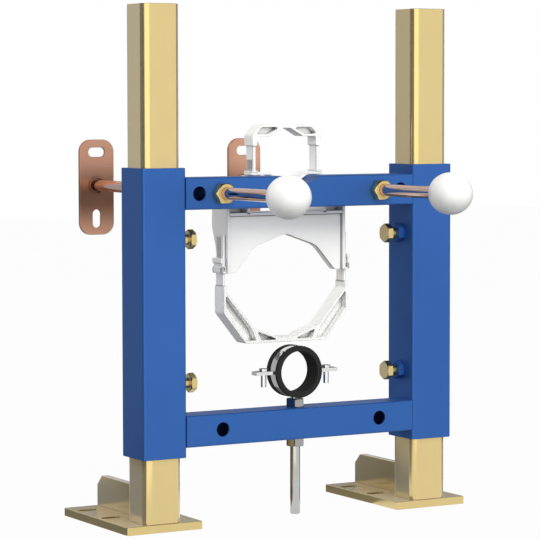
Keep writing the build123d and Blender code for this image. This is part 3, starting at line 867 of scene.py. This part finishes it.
# the strap over the flush pipe
flushLook = {
    "ease": 0.3, "toothEase": 0.12, "webEase": 0.1, "rim": 2.3, "web": 2.0, "webBite": 0.7,
    "front": 0.4, "depth": 16.8, "legFront": 1.6, "legDepth": 14.0, "legBottom": 3.0, "legWall": 2.9,
    "legReach": 37.9, "bodyReach": 39.2, "innerGrowth": 1.2, "top": 65.5, "step": 44.5, "stepSlope": 0.8,
    "bar": 54.0, "chamfer": 10.0, "round": 6.0, "pocketRound": 1.2,
    "veeHalf": 19.0, "veeTopHalf": 4.0, "veeTop": 62.4,
    "toothBottom": 20.3, "toothPitch": 1.4, "teeth": 8, "toothDepth": 1.1, "toothStrip": 1.6,
}


def makeFlushStrap(look):
    moulding = Moulding()
    outer, inner = look["bodyReach"], look["legReach"] - look["legWall"]
    vee, veeTop = (look["veeHalf"], look["bar"]), (look["veeTopHalf"], look["veeTop"])
    shoulder, top = (outer, look["top"] - look["chamfer"]), (outer - look["chamfer"], look["top"])
    lip, slope = inner - look["innerGrowth"], look["step"] + look["stepSlope"]
    half = [
        (*veeTop, 1.5), (*vee, 1.5), (lip, look["bar"], 2.0), (lip, slope, 0.5),
        (inner, look["step"], 0.3), (look["legReach"], look["step"], 0.3), (outer, slope, 0.5),
        (*shoulder, look["round"]), (*top, look["round"]),
    ]
    tip = crossing(vee, veeTop, z=look["top"])
    corner = crossing(shoulder, top, z=look["bar"])
    pocket = grown([vee, corner, top, tip], -look["rim"])
    hole = rounded(pocket, look["pocketRound"], 3)
    body = rounded(bothHalves(half), 0.0, 6)
    moulding.plate([body, hole, mirrored(hole)], look["front"], look["front"] + look["depth"], look["ease"])
    addPockets(moulding, [pocket], look)
    high = look["step"] + strapForm["legOverlap"]
    addLegs(moulding, inner + strapForm["legInset"], look["legReach"], look["legBottom"], high, look)
    finishPiece("flushStrap", moulding, "flush_strap", strapForm["sharp"])


# the bracket that both straps hang from
bracketLook = {
    "ease": 0.4, "half": 68.0, "wall": 3.0, "bottom": -80.5, "wingTop": 9.0, "trench": 0.8, "overlap": 0.6,
    "depth": 32.0, "lowDepth": 22.4, "taperTop": -36.0, "taperBottom": -60.0, "taperRound": 12.0,
    "panelFront": 3.0, "panelThickness": 2.5, "panelEase": 0.25, "frontLayer": 1.6, "rearLayer": 1.2,
    "shelfTop": -21.0, "archDepth": 10.0, "archWall": 2.5, "archFoot": 57.4, "footRound": 4.0,
    "rimStart": 1.3, "rimEase": 0.2,
    "archShoulder": (35.7, -55.3), "shoulderRound": 20.0, "archTop": -42.8, "topRound": 12.0,
    "ribOuter": 45.5, "ribThickness": 3.3, "wingBack": 12.0,
    "flangeHalf": 40.7, "flangeDepth": 15.8, "flangeLow": 16.0, "flangeThickness": 2.7,
    "troughHalf": 20.0, "troughFlat": 4.0, "troughDrop": 9.0, "troughLean": 1.0,
    "guideBottom": -8.0, "guideInner": 32.5,
    "cuffTop": 20.4, "cuffInner": 33.0, "cuffGap": 0.35, "cuffSink": 0.5, "cuffInset": 0.3, "cuffEnd": 0.15,
    "cuffFace": 0.1, "cuffLap": 0.2,
}

latchLook = {
    "front": 1.9, "back": 20.1, "cheekThickness": 1.8, "leverInset": 0.3, "ease": 0.3,
    # outlines on the right: x from the outer face of the strap's leg, height from the arm's foot, rounding
    "cheek": [(-4.7, 0, 0), (2.8, 0, 1.2), (2.8, 5.8, 1.2), (0.5, 7.0, 0.5), (-4.7, 7.0, 0)],
    "lever": [
        (0.4, 0.2, 0.2), (2.8, 0.2, 1.2), (2.8, 5.8, 1.0), (1.5, 7.3, 0.4), (1.5, 9.4, 0.4), (3.3, 10.4, 0.9),
        (3.3, 14.4, 0.9), (1.0, 15.2, 0.4), (0.35, 13.2, 0.3), (0.9, 10.0, 0.3), (0.4, 8.0, 0.2),
    ],
    "slit": [(-1.5, 2.2), (0.2, 2.2), (0.2, 3.4), (-0.5, 4.0), (0.2, 4.7), (0.2, 5.9), (-1.5, 5.9)],
}


def archHalf(look, grow=0.0):
    # the arch's shoulder on the right, or the same shoulder on an outline that is grown by a wall
    x, z = look["archShoulder"]
    return [(x + grow / 2, z + grow, look["shoulderRound"])]


def addPanel(moulding, look):
    # front panel with the opening for the drain pipe: its front layer leaves a fine trench along its edges
    front, bottom, shelf = look["panelFront"], look["bottom"], look["shelfTop"] - look["wall"]
    crown = [(0, look["archTop"], look["topRound"])]
    arch = [(look["archFoot"], bottom, look["footRound"])] + archHalf(look)
    layers = (
        (look["trench"], front, front + look["frontLayer"]),
        (-look["overlap"], front + look["rearLayer"], front + look["panelThickness"]),
    )
    for gap, start, end in layers:
        reach = look["half"] - look["wall"] - gap
        edge = [(reach, shelf - gap, 0), (reach, bottom, 0)] + arch
        panel = edge + crown + mirrored(edge)
        moulding.plate([rounded(panel, 0.0, 8)], start, end, look["panelEase"])
    # the deeper wall round the opening
    grow = look["archWall"]
    outside = [(look["archFoot"] + grow, bottom, 0)] + archHalf(look, grow)
    outside += [(0, look["archTop"] + grow, look["topRound"])] + mirrored(outside)
    rim = arch + crown + mirrored(arch) + list(reversed(outside))
    start, end = front + look["rimStart"], front + look["archDepth"]
    moulding.plate([rounded(rim, 0.0, 8)], start, end, look["rimEase"])


def makeBracket(look):
    moulding = Moulding()
    addPanel(moulding, look)
    inner = look["half"] - look["wall"] + look["overlap"]
    shelf = (look["shelfTop"] - look["wall"], look["shelfTop"])
    moulding.block((-inner, inner), (0, look["depth"]), shelf, look["ease"])
    addSaddle(moulding, look)
    for side in (-1, 1):
        addArm(moulding, side, look)
        addLatch(moulding, side, look["bottom"], look["ease"], latchLook)
    finishPiece("pipeBracket", moulding, "pipe_bracket", strapForm["sharp"])


def spread(side, near, far):
    # the span between two distances from the middle, on one side of it
    return (side * near, side * far) if side > 0 else (side * far, side * near)


def addArm(moulding, side, look):
    # an outer wall that tapers to the rear, and the pocket between it and the window
    half, wall, ease, depth = look["half"], look["wall"], look["ease"], look["depth"]
    low, top, taper = look["bottom"], look["wingTop"], look["taperRound"]
    outline = [
        (0, low, 0.6), (look["lowDepth"], low, 1.5), (look["lowDepth"], look["taperBottom"], taper),
        (depth, look["taperTop"], taper), (depth, top, 1.0), (0, top, 0.6),
    ]
    moulding.wall(rounded(outline, 0.0, 6), *spread(side, half - wall, half), ease)
    rib = look["ribOuter"] - look["ribThickness"]
    shelf = look["shelfTop"] - wall / 2
    moulding.block(spread(side, rib, look["ribOuter"]), (0, depth), (shelf, top), ease)
    back = (look["wingBack"], look["wingBack"] + look["panelThickness"])
    across = spread(side, rib + 1, half - 1)
    moulding.block(across, back, (shelf, top - 1), ease)
    moulding.block(across, (0, depth), (top - wall, top), ease)


def addSaddle(moulding, look):
    # the flange that dips under the flush pipe, with the guides and cuffs that its strap slides in
    ease, low = look["ease"], look["flangeLow"]
    high = low + look["flangeThickness"]
    dip = high - look["troughDrop"]
    lean = look["troughLean"]
    half = [
        (look["troughFlat"], dip, 2.0), (look["troughHalf"], high, 2.0), (look["flangeHalf"], high, 0.6),
        (look["flangeHalf"], low, 0.6), (look["troughHalf"] - lean, low, 2.0),
        (look["troughFlat"] - lean, dip - look["wall"], 2.0),
    ]
    moulding.plate([rounded(bothHalves(half), 0.0, 5)], 0, look["flangeDepth"], ease)
    depth, gap, end = look["flangeDepth"], look["cuffGap"], look["cuffEnd"]
    outer = flushLook["legReach"] + gap
    inner = flushLook["legReach"] - flushLook["legWall"] - gap
    lap, cuff = look["cuffLap"], (high - look["cuffSink"], look["cuffTop"])
    for side in (-1, 1):
        guide = spread(side, look["guideInner"], look["ribOuter"] - 1)
        moulding.block(guide, (0, depth), (look["guideBottom"], low - look["overlap"]), ease)
        for near, far in ((outer, look["flangeHalf"] - look["cuffInset"]), (look["cuffInner"], inner)):
            moulding.block(spread(side, near, far), (end, depth - end), cuff, ease)
        face = spread(side, inner - lap, outer + lap)
        moulding.block(face, (look["cuffFace"], flushLook["legFront"] - gap), cuff, look["cuffInset"])


def addLatch(moulding, side, low, rearEase, look):
    # a loop round the strap's leg, with a sprung lever whose hook holds the teeth
    loops = {}
    for form in ("cheek", "lever", "slit"):
        loop = [(x + drainLook["legReach"], z + low, *corner) for x, z, *corner in look[form]]
        loops[form] = rounded(loop if side > 0 else mirrored(loop), 0.0)
    front, back, inset = look["front"], look["back"], look["leverInset"]
    thick, ease = look["cheekThickness"], look["ease"]
    moulding.plate([loops["cheek"], loops["slit"]], front, front + thick, ease)
    moulding.plate([loops["cheek"]], back - thick, back, rearEase)
    moulding.plate([loops["lever"]], front + inset, back - inset, ease)


railLook = {"ease": 0.35}

makeDrainStrap(drainLook)
makeFlushStrap(flushLook)
makeBracket(bracketLook)
for rail in ("top_rail", "bottom_rail"):
    easedCopy(rail, railLook["ease"])
print("pieces made:", len(pieces))


# the studio: floor, flags that only reflections see, lamps that only light, and the camera
studio = {
    "floorSize": 12.0,
    "floorColour": (0.26, 0.26, 0.26),
    "floorGlow": 0.975,
    "ambient": 0.43,
    "lampAim": (0, 0, 0.28),
    "lampSize": 1.6,
    "lens": 167.79,
    "sensor": 36,
    "clip": 50,
    "cameraAt": (-1.2656, -2.2226, 0.4127),
    "right": (0.8663457, -0.4994422, -0.0016196),
    "up": (0.0344045, 0.0564432, 0.9978129),
    "back": (-0.4982584, -0.8645066, 0.0660823),
}

lamps = {
    # name: place, power, colour
    "key": ((-0.6, -2.2, 2.5), 68.0, (1.0, 0.995, 0.98)),
    "fill": ((0.8, -2.8, 0.9), 34.0, (1.0, 1.0, 1.0)),
    "left": ((-2.6, 1.1, 0.9), 28.0, (1.0, 0.985, 0.96)),
    "rear": ((1.2, 2.8, 1.2), 22.0, (1.0, 1.0, 1.0)),
}

flags = {
    # name: from and to azimuth from the front towards the left, lowest and highest point in metres, colour
    "glow": (4, 60, 0.0, 3.2, (1.7, 1.64, 1.46)),
    "dark": (66, 135, 0.0, 3.2, (0.05, 0.05, 0.05)),
    "side": (135, 166, 0.0, 3.2, (0.46, 0.465, 0.475)),
    "rearLow": (166, 236, 0.0, 0.9, (0.12, 0.125, 0.14)),
    "rearHigh": (160, 220, 0.9, 3.2, (0.68, 0.67, 0.66)),
    "rightSide": (236, 290, 0.0, 3.2, (0.15, 0.15, 0.15)),
}
floorFlags = {
    # the same on the floor: from and to azimuth, nearest point in metres, colour
    "glowFloor": (4, 60, 0.45, (1.45, 1.42, 1.33)),
    "darkFloor": (66, 135, 0.05, (0.12, 0.12, 0.12)),
    "sideFloor": (135, 166, 0.05, (0.45, 0.45, 0.45)),
    "rearFloor": (166, 236, 0.05, (0.12, 0.12, 0.12)),
    "rightFloor": (236, 290, 0.05, (0.2, 0.2, 0.2)),
}
flagRoom = {
    "distance": 3.4, "ground": 0.0004, "steps": 12,
    "ceiling": 2.9, "ceilingHole": 0.01, "ceilingColour": (0.05, 0.05, 0.05),
}


def makeWorld(look):
    # white where it is seen, and soft light everywhere else
    world = bpy.data.worlds.new("studioWorld")
    bpy.context.scene.world = world
    sky = ShaderNodes(world)
    level = sky.add("MapRange", {}, {"Value": sky.seen(), "To Min": look["ambient"], "To Max": 1.0})
    sky.tree.nodes["Background"].inputs["Color"].default_value = (1, 1, 1, 1)
    sky.link(level, "Background", "Strength")


def addStage(name, corners, faces, material):
    mesh = bpy.data.meshes.new(name)
    mesh.from_pydata(corners, [], faces)
    mesh.materials.append(material)
    stand = bpy.data.objects.new(name, mesh)
    bpy.context.scene.collection.objects.link(stand)
    return stand


def makeFloor(look):
    # mostly white where it is seen, with a little of its own grey so that it keeps the shadow
    finish = Finish("floorPaper", look["floorColour"], Roughness=0.9)
    share = finish.seen() * look["floorGlow"]
    paper = Wire(finish, finish.shader.outputs[0])
    mix = finish.add("MixShader", {}, {0: share, 1: paper, 2: finish.add("Emission")})
    finish.link(mix, "Material Output", "Surface")
    reach = look["floorSize"] / 2
    corners = [(-reach, -reach, 0), (reach, -reach, 0), (reach, reach, 0), (-reach, reach, 0)]
    addStage("floor", corners, [(0, 1, 2, 3)], finish.material)


def addFlag(name, corners, faces, colour):
    # a card that only reflections see
    finish = Finish(name)
    glow = finish.add("Emission", {}, {"Color": (*colour, 1)})
    finish.link(glow, "Material Output", "Surface")
    flag = addStage(name, corners, faces, finish.material)
    flag.visible_camera = False
    flag.visible_diffuse = False
    flag.visible_shadow = False
    flag.visible_transmission = False
    flag.visible_volume_scatter = False


def addSector(name, start, end, inner, outer, steps, colour):
    # a strip of card round the object, from one pair of radius and height to another
    corners, faces = [], []
    for step in range(steps + 1):
        angle = math.radians(start + (end - start) * step / steps)
        x, y = -math.sin(angle), -math.cos(angle)
        corners += [(x * radius, y * radius, height) for radius, height in (inner, outer)]
        if step:
            first = 2 * step - 2
            faces.append((first, first + 2, first + 3, first + 1))
    addFlag(name + "Flag", corners, faces, colour)


def makeFlags(room):
    far, ground, steps = room["distance"], room["ground"], room["steps"]
    for name, (start, end, low, high, colour) in flags.items():
        addSector(name, start, end, (far, low), (far, high), steps, colour)
    for name, (start, end, near, colour) in floorFlags.items():
        addSector(name, start, end, (near, ground), (far, ground), steps, colour)
    hole, rim = (room["ceilingHole"], room["ceiling"]), (far, room["ceiling"])
    addSector("ceiling", 0, 360, hole, rim, 4 * steps, room["ceilingColour"])


def makeLamps(look):
    for name, (at, power, colour) in lamps.items():
        light = bpy.data.lights.new(name, "AREA")
        light.size = look["lampSize"]
        light.energy = power
        light.color = colour
        lamp = bpy.data.objects.new(name, light)
        lamp.location = at
        lamp.rotation_euler = (Vector(look["lampAim"]) - Vector(at)).to_track_quat("-Z", "Y").to_euler()
        lamp.visible_glossy = False
        bpy.context.scene.collection.objects.link(lamp)


def makeCamera(look):
    camera = bpy.data.objects.new("camera", bpy.data.cameras.new("camera"))
    camera.data.sensor_width = look["sensor"]
    camera.data.lens = look["lens"]
    camera.data.clip_end = look["clip"]
    columns = [Vector(look[key]) for key in ("right", "up", "back")]
    turn = Matrix(columns).transposed()
    camera.matrix_world = Matrix.Translation(look["cameraAt"]) @ turn.to_4x4()
    bpy.context.scene.collection.objects.link(camera)
    bpy.context.scene.camera = camera


makeWorld(studio)
makeFloor(studio)
makeFlags(flagRoom)
makeLamps(studio)
makeCamera(studio)
bpy.context.scene.view_settings.view_transform = "Standard"
print("stage ready")
